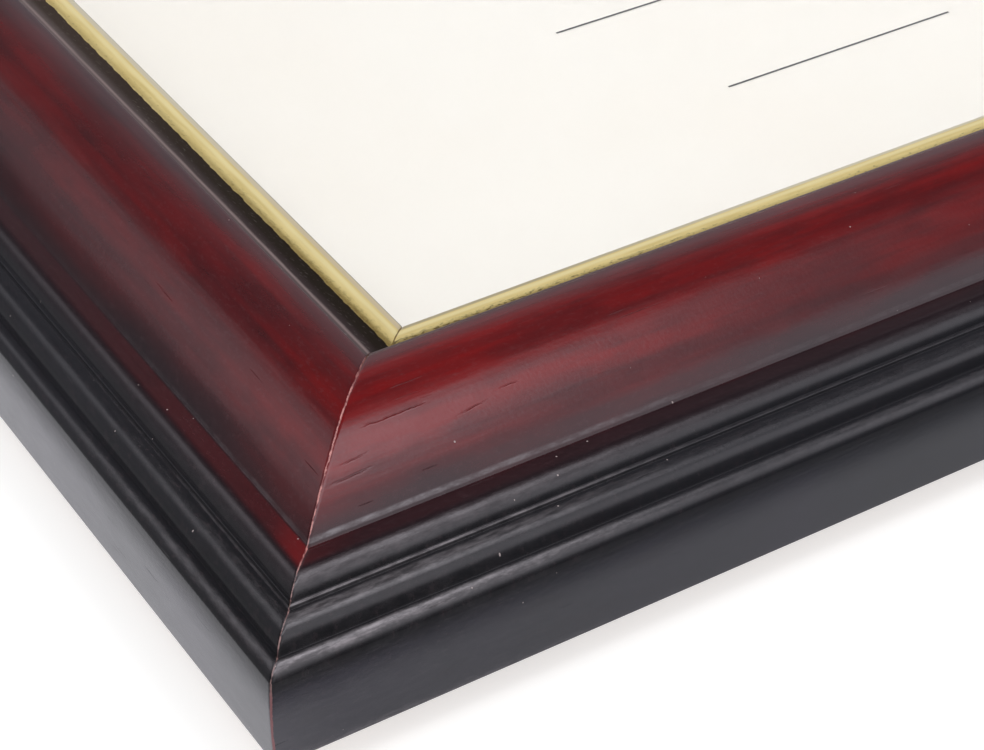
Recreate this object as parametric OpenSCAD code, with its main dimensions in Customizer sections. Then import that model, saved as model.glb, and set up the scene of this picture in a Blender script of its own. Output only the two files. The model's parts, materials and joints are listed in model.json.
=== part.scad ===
// Certificate frame: four mitred moulding rails round a glazed certificate. The layers are held in
// from the back by turn buttons, and the frame hangs from two D-rings.
// It lies on its back: +Z is out of the front, +X runs along the certificate's width, +Y towards its
// top edge, and the bumpers stand on z = 0. All sizes are in millimetres.

/* [Certificate] */
// Width of the certificate, and of the layers behind it
cert_w = 355.6; // [300:0.1:610]
// Height of the certificate, and of the layers behind it
cert_h = 279.4; // [260:0.1:460]
// How far the gilt lip covers the certificate on each side
lip_overlap = 6.35; // [4:0.05:9]
// Gap between the edges of the layers and the side of the rabbet
layer_gap = 0.8; // [0.4:0.1:2]

/* [Layers, from the front] */
// Thickness of the glazing
glass_t = 2.4; // [2:0.1:4]
// Thickness of the certificate's paper
paper_t = 0.3; // [0.2:0.05:0.6]
// Thickness of the mounting board that the certificate lies on
mount_board_t = 1.5; // [1:0.1:3]
// Thickness of the foam board
foam_t = 5; // [3:0.5:10]
// Thickness of the hard back panel
panel_t = 4; // [3:0.5:6]
// How far the back panel lies below the rails' back face
panel_recess = 0.2; // [0.1:0.05:0.5]

/* [Moulding: gilt lip and bevel] */
// Height of the lip's plain inner edge, from the glass up to the gilt arc
lip_t = 6.4; // [4:0.1:9]
// Radius of the gilt arc that rises from the sight edge
gilt_r = 6.4; // [4:0.1:9]
// Slope of the gilt arc at the sight edge, in degrees
gilt_slope = 36; // [25:1:50]
// Width of the level gilt strip outside the arc
gilt_flat = 0.9; // [0.5:0.1:2]
// Width of the dark bevel, seen from the front
bevel_w = 8.1; // [5:0.1:12]
// Slope of the dark bevel, in degrees
bevel_slope = 43.5; // [35:0.5:50]

/* [Moulding: dome] */
// Radius of the dome's crown
crown_r = 16.4; // [13:0.1:20]
// Slope where the crown starts, going up, in degrees
crown_slope = 16; // [10:1:20]
// Radius of the dome's long flank
flank_r = 41; // [35:1:60]
// Slope where the crown turns into the flank, going down, in degrees
flank_slope = 26; // [22:1:30]
// Radius of the dome's toe
toe_r = 15.8; // [12:0.1:20]
// Slope where the flank turns into the toe, going down, in degrees
toe_slope = 35; // [32:1:40]
// Slope at which the toe ends, in degrees
toe_end_slope = 49; // [45:1:55]

/* [Moulding: beads] */
// Step from the dome's toe down to the fillet
fillet_step = 0.4; // [0.2:0.1:1]
// Width of the level fillet outside the dome
fillet_w = 2.35; // [1.5:0.05:4]
// Radius of the upper bead
upper_bead_r = 2.95; // [2:0.05:4]
// Width of the small ledge at the foot of the upper and middle beads
quirk_w = 0.5; // [0.3:0.05:1]
// Step down from the upper bead's ledge
upper_step_h = 0.5; // [0.3:0.05:1]
// Distance from that step out to the middle bead
middle_bead_inset = 0.75; // [0.3:0.05:1.5]
// Fall of the middle bead's ledge towards the lower bead
lower_step_h = 0.3; // [0.1:0.05:0.8]
// Radius of the middle bead
middle_bead_r = 2.85; // [2:0.05:4]
// Radius of the lower bead
lower_bead_r = 1.97; // [1.5:0.01:3]
// Slope at which the upper and lower beads end, in degrees
bead_end_slope = 75; // [65:1:80]
// Slope at which the middle bead ends, in degrees
middle_end_slope = 83; // [75:1:86]
// Radius of the rail's slightly rounded outer side
side_r = 50; // [40:1:90]
// Slope of the outer side where it leaves the lower bead, in degrees
side_slope = 84; // [82:0.5:87]

/* [V-nails] */
// Length of each leg of a V-nail
v_leg = 8; // [5:0.5:10]
// Thickness of a V-nail
v_nail_t = 0.8; // [0.5:0.1:1.2]
// Depth to which a V-nail is driven
v_nail_depth = 10; // [6:0.5:12]
// Distance of the inner V-nail's corner from the sight edges
v_nail_inner_inset = 18; // [16.5:0.5:19]
// Distance of the outer V-nail's corner from the sight edges
v_nail_outer_inset = 28.5; // [27.5:0.5:30]

/* [Turn buttons] */
// Distance from the rabbet's side to a turn button's screw
button_setback = 9; // [8:0.5:11]
// Distance along the rail from the sight corner to a turn button's screw
button_inset = 55; // [48:1:62]
// Distance from a turn button's screw to the centre of its tip
button_reach = 20; // [17:0.5:22]
// Radius of the turn button round its screw
button_head_r = 7; // [6:0.25:7.5]
// Radius of the turn button's tip
button_tip_r = 4.5; // [3.5:0.25:5.5]
// Thickness of the turn button's plate
button_t = 1.2; // [0.9:0.1:1.4]
// Height of the pressed rib on the turn button
button_rib_h = 0.7; // [0.4:0.1:1]
// Width of that rib
button_rib_w = 2.6; // [1.6:0.2:4]
// Clearance between a turn button and the rails' back face
button_gap = 0.3; // [0.2:0.05:0.5]

/* [Screws] */
// Radius of the screws' shank
screw_r = 1.75; // [1.5:0.05:2]
// Length of the turn buttons' screws under the head
button_screw_len = 12; // [9:0.5:14]
// Length of the D-ring hangers' screws under the head
hanger_screw_len = 13; // [9:0.5:14]
// Radius of the screws' head
screw_head_r = 3.5; // [3:0.1:4]
// Height of the screws' head
screw_head_h = 1.9; // [1.5:0.1:2.1]
// Clearance round a shank in a turn button, and between its head and the button
screw_clearance = 0.1; // [0.05:0.01:0.15]
// Clearance round a shank in its pilot hole
pilot_clearance = 0.05; // [0.02:0.01:0.1]

/* [D-ring hangers] */
// Distance from the frame's top edge down to a D-ring's hinge line
hanger_drop = 148; // [146:1:170]
// Distance from the sight edge to a hanger's centre line
hanger_setback = 28; // [26:0.5:31]
// Inside width of a D-ring
ring_inside_w = 17; // [15:0.5:19]
// Inside length of a D-ring, from its straight bar to the top of its bow
ring_inside_len = 14; // [13:0.5:15]
// Radius of a D-ring's wire
wire_r = 1.2; // [1:0.05:1.25]
// Bend radius of a D-ring's two corners, at the middle of the wire
ring_bend_r = 3; // [2.5:0.1:3.5]
// Thickness of the strap's sheet metal
strap_t = 0.9; // [0.7:0.05:1]
// Width of the strap
strap_w = 9.5; // [9:0.5:11]
// Length of the strap, from the hinge line to its round end
strap_len = 34; // [30:0.5:38]
// Distance from the hinge line to the strap's screw
strap_screw = 25; // [22:0.5:26]
// Clearance round the ring's bar in the strap's eye
eye_clearance = 0.1; // [0.05:0.01:0.15]

/* [Bumpers] */
// Height of a bumper, which stands proud of everything else on the back
bumper_h = 5; // [4.9:0.1:8]
// Radius of a bumper
bumper_r = 6; // [5:0.25:6.5]
// Radius of the bumper's rounded rim
bumper_rim_r = 1.2; // [0.6:0.1:2]
// Distance of a bumper's centre from the frame's left and right edges
bumper_end_inset = 36.5; // [35.5:0.25:60]
// Distance of a bumper's centre from the frame's top and bottom edges
bumper_side_inset = 19.25; // [16:0.25:20]

/* [Hidden] */
$fn = 96;

// Sizes of the whole
sight_w = cert_w - 2 * lip_overlap;
sight_h = cert_h - 2 * lip_overlap;
rabbet_side = lip_overlap + layer_gap;
rabbet_depth = glass_t + paper_t + mount_board_t + foam_t + panel_t + panel_recess;
side_h = lip_t + rabbet_depth;

// Heights: the rails' back face, the lip's top edge and the front of each layer
back_z = bumper_h;
lip_z = back_z + side_h;
glass_front = back_z + rabbet_depth;
paper_front = glass_front - glass_t;
mount_board_front = paper_front - paper_t;
foam_front = mount_board_front - mount_board_t;
panel_front = foam_front - foam_t;

// Corners of the moulding, each as [distance outward from the sight edge, height over the lip's top
// edge]. Slopes are positive uphill, going outward.
function arc_end(start, r, a, b) = start + r * [sin(a) - sin(b), cos(b) - cos(a)];
// Points along such an arc, without its start
function arc(start, r, a, b) =
  let (steps = ceil(abs(b - a) / arc_step))
  [for (i = [1 : steps]) arc_end(start, r, a, a + (b - a) * i / steps)];
arc_step = 4;
sight_edge = [0, 0];
gilt_top = arc_end(sight_edge, gilt_r, gilt_slope, 0);
bevel_foot = gilt_top + [gilt_flat, 0];
crown_start = bevel_foot + bevel_w * [1, tan(bevel_slope)];
flank_start = arc_end(crown_start, crown_r, crown_slope, -flank_slope);
toe_start = arc_end(flank_start, flank_r, -flank_slope, -toe_slope);
toe_foot = arc_end(toe_start, toe_r, -toe_slope, -toe_end_slope);
fillet_start = toe_foot + fillet_step * [1 / tan(toe_end_slope), -1];
upper_bead = fillet_start + [fillet_w, 0];
upper_bead_foot = arc_end(upper_bead, upper_bead_r, 0, -bead_end_slope);
upper_arris = upper_bead_foot + [quirk_w, 0];
middle_bead = upper_arris + [middle_bead_inset, -upper_step_h];
middle_bead_foot = arc_end(middle_bead, middle_bead_r, 0, -middle_end_slope);
lower_bead = middle_bead_foot + [quirk_w, -lower_step_h];
lower_bead_foot = arc_end(lower_bead, lower_bead_r, 0, -bead_end_slope);
side_end_slope = acos(cos(side_slope) - (lower_bead_foot.y + side_h) / side_r);
side_foot = arc_end(lower_bead_foot, side_r, -side_slope, -side_end_slope);

// The moulding is widest where its outer side stands upright
rail_w = arc_end(lower_bead_foot, side_r, -side_slope, -90).x;
crown_h = arc_end(crown_start, crown_r, crown_slope, 0).y;
outer_w = sight_w + 2 * rail_w;
outer_h = sight_h + 2 * rail_w;

// Places on the back
button_x = sight_w / 2 - button_inset;
button_y = sight_h / 2 - button_inset;
pivot_x = sight_w / 2 + rabbet_side + button_setback;
pivot_y = sight_h / 2 + rabbet_side + button_setback;
hanger_x = sight_w / 2 + hanger_setback;
hanger_y = outer_h / 2 - hanger_drop;
bumper_x = outer_w / 2 - bumper_end_inset;
bumper_y = outer_h / 2 - bumper_side_inset;

// Turn buttons: name, screw position, and the direction of the tip
BUTTONS = [
  ["turn_button_top_left", [-button_x, pivot_y], -90],
  ["turn_button_top_right", [button_x, pivot_y], -90],
  ["turn_button_right_upper", [pivot_x, button_y], 180],
  ["turn_button_right_lower", [pivot_x, -button_y], 180],
  ["turn_button_bottom_right", [button_x, -pivot_y], 90],
  ["turn_button_bottom_left", [-button_x, -pivot_y], 90],
  ["turn_button_left_lower", [-pivot_x, -button_y], 0],
  ["turn_button_left_upper", [-pivot_x, button_y], 0],
];

// Rails: name, direction that the rail's outer side faces, sight length, distance of the sight edge
RAILS = [
  ["bottom_rail", 0, sight_w, sight_h / 2],
  ["right_rail", 90, sight_h, sight_w / 2],
  ["top_rail", 180, sight_w, sight_h / 2],
  ["left_rail", 270, sight_h, sight_w / 2],
];

HANGERS = [["left", -hanger_x], ["right", hanger_x]];

BUMPERS = [
  ["bumper_top_left", [-bumper_x, bumper_y]],
  ["bumper_top_right", [bumper_x, bumper_y]],
  ["bumper_bottom_left", [-bumper_x, -bumper_y]],
  ["bumper_bottom_right", [bumper_x, -bumper_y]],
];

// Rails

// Cross-section of the moulding, with the rabbet at its inner lower corner
module moulding() {
  polygon(concat(
    [sight_edge],
    arc(sight_edge, gilt_r, gilt_slope, 0),
    [bevel_foot, crown_start],
    arc(crown_start, crown_r, crown_slope, -flank_slope),
    arc(flank_start, flank_r, -flank_slope, -toe_slope),
    arc(toe_start, toe_r, -toe_slope, -toe_end_slope),
    [fillet_start, upper_bead],
    arc(upper_bead, upper_bead_r, 0, -bead_end_slope),
    [upper_arris, [upper_arris.x, middle_bead.y], middle_bead],
    arc(middle_bead, middle_bead_r, 0, -middle_end_slope),
    [lower_bead],
    arc(lower_bead, lower_bead_r, 0, -bead_end_slope),
    arc(lower_bead_foot, side_r, -side_slope, -side_end_slope),
    [[rabbet_side, -side_h], [rabbet_side, -lip_t], [0, -lip_t]]
  ));
}

// Block whose two ends are the mitre planes of a rail that lies along X
module mitre_block(sight_length) {
  margin = 1;
  half = sight_length / 2;
  reach = rail_w + margin;
  translate([0, 0, -side_h - margin])
    linear_extrude(side_h + crown_h + 2 * margin)
      polygon([
        [-half + margin, margin], [half - margin, margin],
        [half + reach, -reach], [-half - reach, -reach],
      ]);
}

module rail(r) {
  color("#5a1416")
    difference() {
      rotate([0, 0, r[1]]) translate([0, -r[3], lip_z])
        intersection() {
          rotate([90, 0, -90])
            linear_extrude(r[2] + 2 * rail_w + 2, center = true) moulding();
          mitre_block(r[2]);
        }
      at_v_nails() v_nail();
      for (b = BUTTONS) translate(b[1]) pilot_hole(button_screw_seat, button_screw_len);
      for (h = HANGERS) translate([h[1], hanger_y - strap_screw])
        pilot_hole(hanger_screw_seat, hanger_screw_len);
    }
}

// Layers

module layer(thickness, front) {
  translate([-cert_w / 2, -cert_h / 2, front - thickness]) cube([cert_w, cert_h, thickness]);
}

module glazing() color("#dfeaea", 0.35) layer(glass_t, glass_front);
module certificate() color("#fffcf4") layer(paper_t, paper_front);
module mount_board() color("#f4f1e8") layer(mount_board_t, mount_board_front);
module foam_board() color("#f8f8f8") layer(foam_t, foam_front);
module back_panel() color("#8a6a45") layer(panel_t, panel_front);

// V-nails

// Two V-nails across each corner's mitre, with the V's corner outward
module at_v_nails() {
  corners = [[1, 1, 0], [-1, 1, 90], [-1, -1, 180], [1, -1, 270]];
  for (c = corners, d = [v_nail_inner_inset, v_nail_outer_inset])
    translate([c[0] * sight_w / 2, c[1] * sight_h / 2, back_z]) rotate(c[2]) translate([d, d, 0])
      children();
}

module v_nail() {
  linear_extrude(v_nail_depth) {
    translate([-v_leg, -v_nail_t]) square([v_leg, v_nail_t]);
    translate([-v_nail_t, -v_leg]) square([v_nail_t, v_leg]);
  }
}

module v_nails() color("#9a9da0") at_v_nails() v_nail();

// Turn buttons

button_back = back_z - button_gap;
button_face = button_back - button_t;
button_screw_seat = button_face - screw_clearance;

// Plan of a plate that narrows from one round end to another along X
module round_ended(start_r, end_r, length) {
  lean = asin((start_r - end_r) / length);
  steps = 24;
  polygon(concat(
    [for (i = [0 : steps]) start_r * heading(90 - lean + (180 + 2 * lean) * i / steps)],
    [for (i = [0 : steps]) [length, 0] + end_r * heading(lean - 90 + (180 - 2 * lean) * i / steps)]
  ));
}
function heading(angle) = [cos(angle), sin(angle)];

// Rib pressed into the plate
module button_rib() {
  rib_r = button_rib_w / 2;
  rib_start = screw_head_r + 1.5 * rib_r;
  translate([rib_start, 0, -button_rib_h])
    linear_extrude(button_rib_h + button_t / 2)
      round_ended(rib_r, rib_r, button_reach - rib_r - rib_start);
}

module turn_button(b) {
  color("#b9b6ae")
    translate([b[1].x, b[1].y, button_face]) rotate(b[2])
      difference() {
        union() {
          linear_extrude(button_t) round_ended(button_head_r, button_tip_r, button_reach);
          button_rib();
        }
        translate([0, 0, -button_t]) cylinder(h = 3 * button_t, r = screw_r + screw_clearance);
      }
}

// Screws

hanger_screw_seat = back_z - 2 * strap_t;
screw_tip_len = 2 * screw_r;
screw_tip_r = 0.3;

// Pan-head screw that points up, with the underside of its head at z = 0
module screw(length) {
  dome_r = (pow(screw_head_r, 2) + pow(screw_head_h, 2)) / (2 * screw_head_h);
  slot_w = screw_r / 2;
  slot_depth = screw_head_h / 2;
  difference() {
    union() {
      rotate_extrude()
        intersection() {
          translate([0, dome_r - screw_head_h]) circle(dome_r, $fn = 240);
          translate([0, -screw_head_h]) square([screw_head_r, screw_head_h]);
        }
      cylinder(h = length - screw_tip_len, r = screw_r);
      translate([0, 0, length - screw_tip_len])
        cylinder(h = screw_tip_len, r1 = screw_r, r2 = screw_tip_r);
    }
    for (turn = [0, 90]) rotate(turn)
      translate([-screw_r, -slot_w / 2, -screw_head_h]) cube([2 * screw_r, slot_w, slot_depth]);
  }
}

module pilot_hole(seat, length) {
  translate([0, 0, back_z - 1]) cylinder(h = seat + length - back_z + 1.5, r = screw_r + pilot_clearance);
}

module button_screws() {
  color("#c9c6bd")
    for (b = BUTTONS) translate([b[1].x, b[1].y, button_screw_seat]) screw(button_screw_len);
}

module hanger_screws() {
  color("#c9c6bd")
    for (h = HANGERS) translate([h[1], hanger_y - strap_screw, hanger_screw_seat]) screw(hanger_screw_len);
}

// D-ring hangers

eye_r = wire_r + eye_clearance;
strap_cut_h = 2 * back_z;
hinge_z = back_z - strap_t - eye_r;

// Side view of the strap, folded double round the ring's bar: [along the strap, below the back face]
module strap_side() {
  difference() {
    union() {
      translate([0, strap_t + eye_r]) circle(eye_r + strap_t);
      square([strap_len, 2 * strap_t]);
    }
    translate([0, strap_t + eye_r]) circle(eye_r);
  }
}

module hanger_strap(h) {
  color("#b9b6ae")
    translate([h[1], hanger_y, back_z]) mirror([0, 0, 1])
      difference() {
        intersection() {
          rotate([90, 0, -90]) linear_extrude(strap_w, center = true) strap_side();
          union() {
            translate([-strap_w / 2, -strap_len + strap_w / 2, -1])
              cube([strap_w, 2 * strap_len, strap_cut_h]);
            translate([0, -strap_len + strap_w / 2, -1]) cylinder(h = strap_cut_h, r = strap_w / 2);
          }
        }
        translate([0, -strap_screw, -1]) cylinder(h = strap_cut_h, r = screw_r + pilot_clearance);
      }
}

// D-ring in its rest place, flat behind the frame, with the bow towards the top edge
module d_ring(h) {
  bow_r = ring_inside_w / 2 + wire_r;
  bow_y = ring_inside_len + 2 * wire_r - bow_r;
  corner_x = bow_r - ring_bend_r;
  color("#c4c2bb")
    translate([h[1], hanger_y, hinge_z]) {
      translate([-corner_x, 0, 0]) rotate([0, 90, 0]) cylinder(h = 2 * corner_x, r = wire_r);
      for (side = [0, 1]) mirror([side, 0, 0]) {
        translate([corner_x, ring_bend_r, 0]) rotate([0, 0, -90])
          rotate_extrude(angle = 90) translate([ring_bend_r, 0]) circle(wire_r);
        translate([bow_r, ring_bend_r, 0]) rotate([-90, 0, 0])
          cylinder(h = bow_y - ring_bend_r, r = wire_r);
      }
      translate([0, bow_y, 0]) rotate_extrude(angle = 180) translate([bow_r, 0]) circle(wire_r);
    }
}

// Bumpers

module bumper(b) {
  color("#2a2a2c")
    translate([b[1].x, b[1].y, 0])
      rotate_extrude() {
        translate([0, bumper_rim_r]) square([bumper_r, bumper_h - bumper_rim_r]);
        square([bumper_r - bumper_rim_r, bumper_h]);
        translate([bumper_r - bumper_rim_r, bumper_rim_r]) circle(bumper_rim_r);
      }
}

for (r = RAILS) rail(r);
glazing();
certificate();
mount_board();
foam_board();
back_panel();
v_nails();
for (b = BUTTONS) turn_button(b);
button_screws();
for (h = HANGERS) hanger_strap(h);
for (h = HANGERS) d_ring(h);
hanger_screws();
for (b = BUMPERS) bumper(b);
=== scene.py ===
"""Looks of the certificate frame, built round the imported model. It lies on its back on a white table."""

import json
import math

import bmesh
import bpy
from mathutils import Matrix, Vector, noise

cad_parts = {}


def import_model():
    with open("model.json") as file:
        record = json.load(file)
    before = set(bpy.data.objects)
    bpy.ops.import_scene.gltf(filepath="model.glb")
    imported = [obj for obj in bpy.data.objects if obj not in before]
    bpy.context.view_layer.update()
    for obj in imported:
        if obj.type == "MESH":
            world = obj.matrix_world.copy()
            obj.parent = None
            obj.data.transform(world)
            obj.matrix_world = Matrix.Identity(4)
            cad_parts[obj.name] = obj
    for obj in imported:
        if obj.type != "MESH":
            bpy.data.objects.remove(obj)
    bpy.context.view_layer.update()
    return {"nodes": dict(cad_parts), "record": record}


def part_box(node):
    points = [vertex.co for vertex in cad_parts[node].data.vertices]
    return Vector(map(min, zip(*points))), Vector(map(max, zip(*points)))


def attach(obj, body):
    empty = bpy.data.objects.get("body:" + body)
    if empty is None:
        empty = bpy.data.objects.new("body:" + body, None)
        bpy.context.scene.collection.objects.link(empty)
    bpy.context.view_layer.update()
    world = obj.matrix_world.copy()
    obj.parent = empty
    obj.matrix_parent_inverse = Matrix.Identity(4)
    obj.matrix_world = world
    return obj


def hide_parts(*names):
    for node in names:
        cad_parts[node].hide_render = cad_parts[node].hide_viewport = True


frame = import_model()

MM = 0.001
WIDTH_PX = 984
HEIGHT_PX = 750

# Sizes that part.scad also names, in millimetres
LIP_OVERLAP = 6.35
LIP_T = 6.4
RABBET_SIDE = 7.15
GILT_R, GILT_SLOPE, GILT_FLAT = 6.4, 36, 0.9
BEVEL_W, BEVEL_SLOPE = 8.1, 43.5
CROWN_R, CROWN_SLOPE = 16.4, 16
FLANK_R, FLANK_SLOPE = 41, 26
TOE_R, TOE_SLOPE, TOE_END_SLOPE = 15.8, 35, 49
FILLET_STEP, FILLET_W = 0.4, 2.35
UPPER_BEAD_R, UPPER_STEP, QUIRK_W = 2.95, 0.5, 0.5
MIDDLE_BEAD_INSET, MIDDLE_BEAD_R, MIDDLE_END_SLOPE = 0.75, 2.85, 83
LOWER_STEP, LOWER_BEAD_R, BEAD_END_SLOPE = 0.3, 1.97, 75
SIDE_R, SIDE_SLOPE = 50, 84

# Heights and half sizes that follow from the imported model, in millimetres
rail_low, rail_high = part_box("bottom_rail")
_, paper_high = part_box("certificate")
_, glass_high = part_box("glazing")
BACK_Z = rail_low.z / MM
LIP_Z = glass_high.z / MM + LIP_T
SIDE_H = LIP_Z - BACK_Z
HALF_SIGHT_X = paper_high.x / MM - LIP_OVERLAP
HALF_SIGHT_Y = paper_high.y / MM - LIP_OVERLAP


# Small helpers


def collection_add(obj):
    bpy.context.scene.collection.objects.link(obj)
    return obj


def mesh_object(name, verts, faces, smooth=True):
    """A mesh object from vertices in millimetres."""
    mesh = bpy.data.meshes.new(name)
    mesh.from_pydata([[c * MM for c in v] for v in verts], [], faces)
    mesh.update()
    if smooth:
        mesh.shade_smooth()
    return collection_add(bpy.data.objects.new(name, mesh))


def flat_normals(obj):
    """Keeps broad faces flat where small rounded edges meet them."""
    modifier = obj.modifiers.new("broad_faces", "WEIGHTED_NORMAL")
    modifier.keep_sharp = True
    modifier.weight = 80
    return obj


class Nodes:
    """Short way to write the node tree of a material or of the world."""

    def __init__(self, owner):
        owner.use_nodes = True
        self.owner = owner
        self.tree = owner.node_tree
        self.tree.nodes.clear()
        kind = "World" if isinstance(owner, bpy.types.World) else "Material"
        self.output = self.tree.nodes.new("ShaderNodeOutput" + kind)

    def put(self, socket, value):
        if isinstance(value, bpy.types.NodeSocket):
            self.tree.links.new(value, socket)
        elif value is not None:
            socket.default_value = value

    def add(self, kind, **inputs):
        """A node, with its inputs set by name."""
        node = self.tree.nodes.new(kind)
        for key, value in inputs.items():
            self.put(node.inputs[key.replace("_", " ")], value)
        return node

    def uv(self, name):
        node = self.tree.nodes.new("ShaderNodeUVMap")
        node.uv_map = name
        return node.outputs[0]

    def coordinate(self, kind):
        return self.tree.nodes.new("ShaderNodeTexCoord").outputs[kind]

    def light_path(self, kind):
        return self.tree.nodes.new("ShaderNodeLightPath").outputs[kind]

    def math(self, operation, a, b=None, c=None, clamp=False):
        node = self.tree.nodes.new("ShaderNodeMath")
        node.operation = operation
        node.use_clamp = clamp
        for socket, value in zip(node.inputs, (a, b, c)):
            self.put(socket, value)
        return node.outputs[0]

    def times(self, a, b, clamp=False):
        return self.math("MULTIPLY", a, b, clamp=clamp)

    def ramp(self, value, low, high, to_low=0.0, to_high=1.0):
        """Smooth step of value from low to high."""
        node = self.tree.nodes.new("ShaderNodeMapRange")
        node.interpolation_type = "SMOOTHSTEP"
        for socket, v in zip(node.inputs, (value, low, high, to_low, to_high)):
            self.put(socket, v)
        return node.outputs[0]

    def band(self, value, start, full, fade, end, to_end=0.0, to_fade=1.0):
        """Rises smoothly from start to full, and falls from to_fade at fade to to_end at end."""
        rise = self.ramp(value, start, full)
        fall = self.ramp(value, end, fade, to_end, to_fade)
        return self.times(rise, fall)

    def mix(self, factor, a, b):
        """Colour between a and b."""
        node = self.tree.nodes.new("ShaderNodeMix")
        node.data_type = "RGBA"
        for key, value in (("Factor", factor), ("A", a), ("B", b)):
            self.put(node.inputs[key], value)
        return node.outputs["Result"]

    def stretch(self, vector, scale, offset=(0, 0, 0)):
        return self.add("ShaderNodeMapping", Vector=vector, Scale=scale, Location=offset).outputs[0]

    def noise(self, vector, scale, detail=2.0, roughness=0.5):
        inputs = {"Vector": vector, "Scale": scale, "Detail": detail, "Roughness": roughness}
        return self.add("ShaderNodeTexNoise", **inputs).outputs["Fac"]

    def specks(self, vector, scale):
        """Distance to the nearest of scattered points, and a random number for each."""
        node = self.add("ShaderNodeTexVoronoi", Vector=vector, Scale=scale)
        return node.outputs["Distance"], node.outputs["Color"]

    def bump(self, height, distance):
        return self.add("ShaderNodeBump", Height=height, Distance=distance, Strength=1.0).outputs[0]

    def split(self, vector):
        return self.add("ShaderNodeSeparateXYZ", Vector=vector).outputs

    def mix_shaders(self, factor, a, b):
        """Shader a where factor is 0, and b where it is 1."""
        node = self.tree.nodes.new("ShaderNodeMixShader")
        for socket, value in zip(node.inputs, (factor, a.outputs[0], b.outputs[0])):
            self.put(socket, value)
        return node

    def finish(self, shader):
        """Puts a shader on the output, and returns the material or the world."""
        self.put(self.output.inputs["Surface"], shader.outputs[0])
        return self.owner

    def surface(self, **inputs):
        """A material of one Principled shader, with its sockets set by name."""
        return self.finish(self.add("ShaderNodeBsdfPrincipled", **inputs))


def material_nodes(name):
    return Nodes(bpy.data.materials.new(name))


def colour(r, g, b):
    """Linear colour of an sRGB colour given in 0 to 255."""

    def linear(c):
        c = c / 255
        return c / 12.92 if c <= 0.04045 else ((c + 0.055) / 1.055) ** 2.4

    return (linear(r), linear(g), linear(b), 1.0)


# Materials of the rails. The map "rail" holds the distance along the rail from its middle and the
# distance outward from the sight edge, and the map "seam" the distance from the nearest mitre and the
# height over the lip. All are in millimetres

LACQUER_IOR = 1.6
GILT_METALLIC = 0.35
MATT_SPECULAR = 0.03
SCRATCH_FADE = 2.5

# Bands across the moulding, by the distance outward at which each starts, is full, fades and ends. Two
# further numbers are its strength at the end and where it fades
# The gilt ridge band marks a painted highlight along the ridge of the gilding
GILT_RIDGE_HIGHLIGHT = (1.5, 2.1, 2.3, 3.0)
DOME_RED = (9.5, 18.5, 25.5, 35.0)
DUSTY_EDGES = (32.2, 32.9, 40.0, 44.0)
TOE = (32.6, 32.85, 33.05, 33.25)
FILLET = (33.0, 33.5, 35.2, 36.3)
FIRST_BEAD = (36.0, 36.9, 37.2, 38.5, 0.06, 0.35)
ARRIS = (38.7, 38.85, 39.0, 39.2)
MIDDLE_BEAD = (39.4, 39.9, 40.9, 41.6, 0.0, 0.5)
LAST_BEAD = (43.0, 43.7, 44.1, 44.7)

# Heights between which the beads give way to the outer side, for its wear, its stain and its textures
WALL_TOP = (-5.0, -8.0)
WALL_STAIN_TOP = (-5.5, -8.5)
WALL_TEXTURE_TOP = -6.0

# Changes with the distance from the mitre: where each starts and ends, and for some its strength there
RED_FADE = (80.0, 4.0)
AT_CORNER = (9.0, 1.0)
BEAD_SHEEN_FADE = (5.0, 70.0)
PORE_FADE = (120.0, 10.0)
GRAIN_FADE = (110.0, 20.0, 0.03, 0.08)
RUB_AND_HIGHLIGHT_FADE = (66.0, 8.0, 0.12, 1.0)
DUST_FADE = (90.0, 20.0)
LEAF_FADE = (70.0, 12.0)
BEVEL_SHEEN_FADE = (15.0, 110.0)

# Colours of the lacquer and its wear. The far bead black is painted sheen, and the rubbed grey is partly
# wear and partly a painted highlight
SIDE_BLACK = colour(22, 24, 33)
SIDE_VIOLET = colour(32, 29, 44)
BEAD_BLACK_NEAR = colour(22, 22, 26)
BEAD_BLACK_SHEEN_FAR = colour(31, 31, 36)
DOME_BLACK = colour(32, 21, 26)
RED = colour(116, 11, 14)
PORE = colour(20, 14, 16)
GRAIN_SHEEN = colour(118, 92, 98)
CLOUD = colour(22, 14, 18)
SCRATCH_DARK = colour(26, 14, 16)
SCRATCH_LIT = colour(150, 116, 120)
BARE_DARK = colour(150, 92, 94)
BARE_LIGHT = colour(214, 150, 146)
BARE_BEAD_DARK = colour(70, 50, 52)
BARE_BEAD_LIGHT = colour(168, 140, 138)
BARE_WALL = colour(158, 96, 100)
RUBBED_GREY_AND_HIGHLIGHT = colour(138, 132, 137)
DUST = colour(200, 184, 184)

# Colours of the gilding and the inner bevel, close to the corner and far from it where they differ. The
# ridge gold is a painted highlight, the inner gilt a painted reflection, the sight edge and lip foot
# painted shade, and the bevel's far, top and edge colours painted sheen and highlight
LEAF_DARK = colour(228, 206, 139)
LEAF_LIGHT = colour(243, 223, 158)
RIDGE_HIGHLIGHT_GOLD = colour(250, 236, 182)
INNER_GILT_REFLECTION_FAR = colour(220, 211, 188)
OLIVE = colour(134, 112, 56)
WORN_LEAF = colour(72, 56, 36)
SIGHT_SHADE_FAR = colour(172, 168, 152)
SIGHT_SHADE_NEAR = colour(132, 130, 116)
LIP_SIDE = colour(186, 160, 104)
LIP_FOOT_SHADE = colour(96, 78, 50)
LEAF_CUT = colour(128, 104, 60)
BEVEL_LOW_NEAR = colour(34, 27, 23)
BEVEL_LOW_SHEEN_FAR = colour(62, 52, 48)
BEVEL_TOP_SHEEN_NEAR = colour(58, 48, 50)
BEVEL_TOP_SHEEN_FAR = colour(90, 80, 80)
BEVEL_DUST = colour(120, 114, 110)
BEVEL_EDGE_HIGHLIGHT = colour(130, 115, 115)
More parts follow.
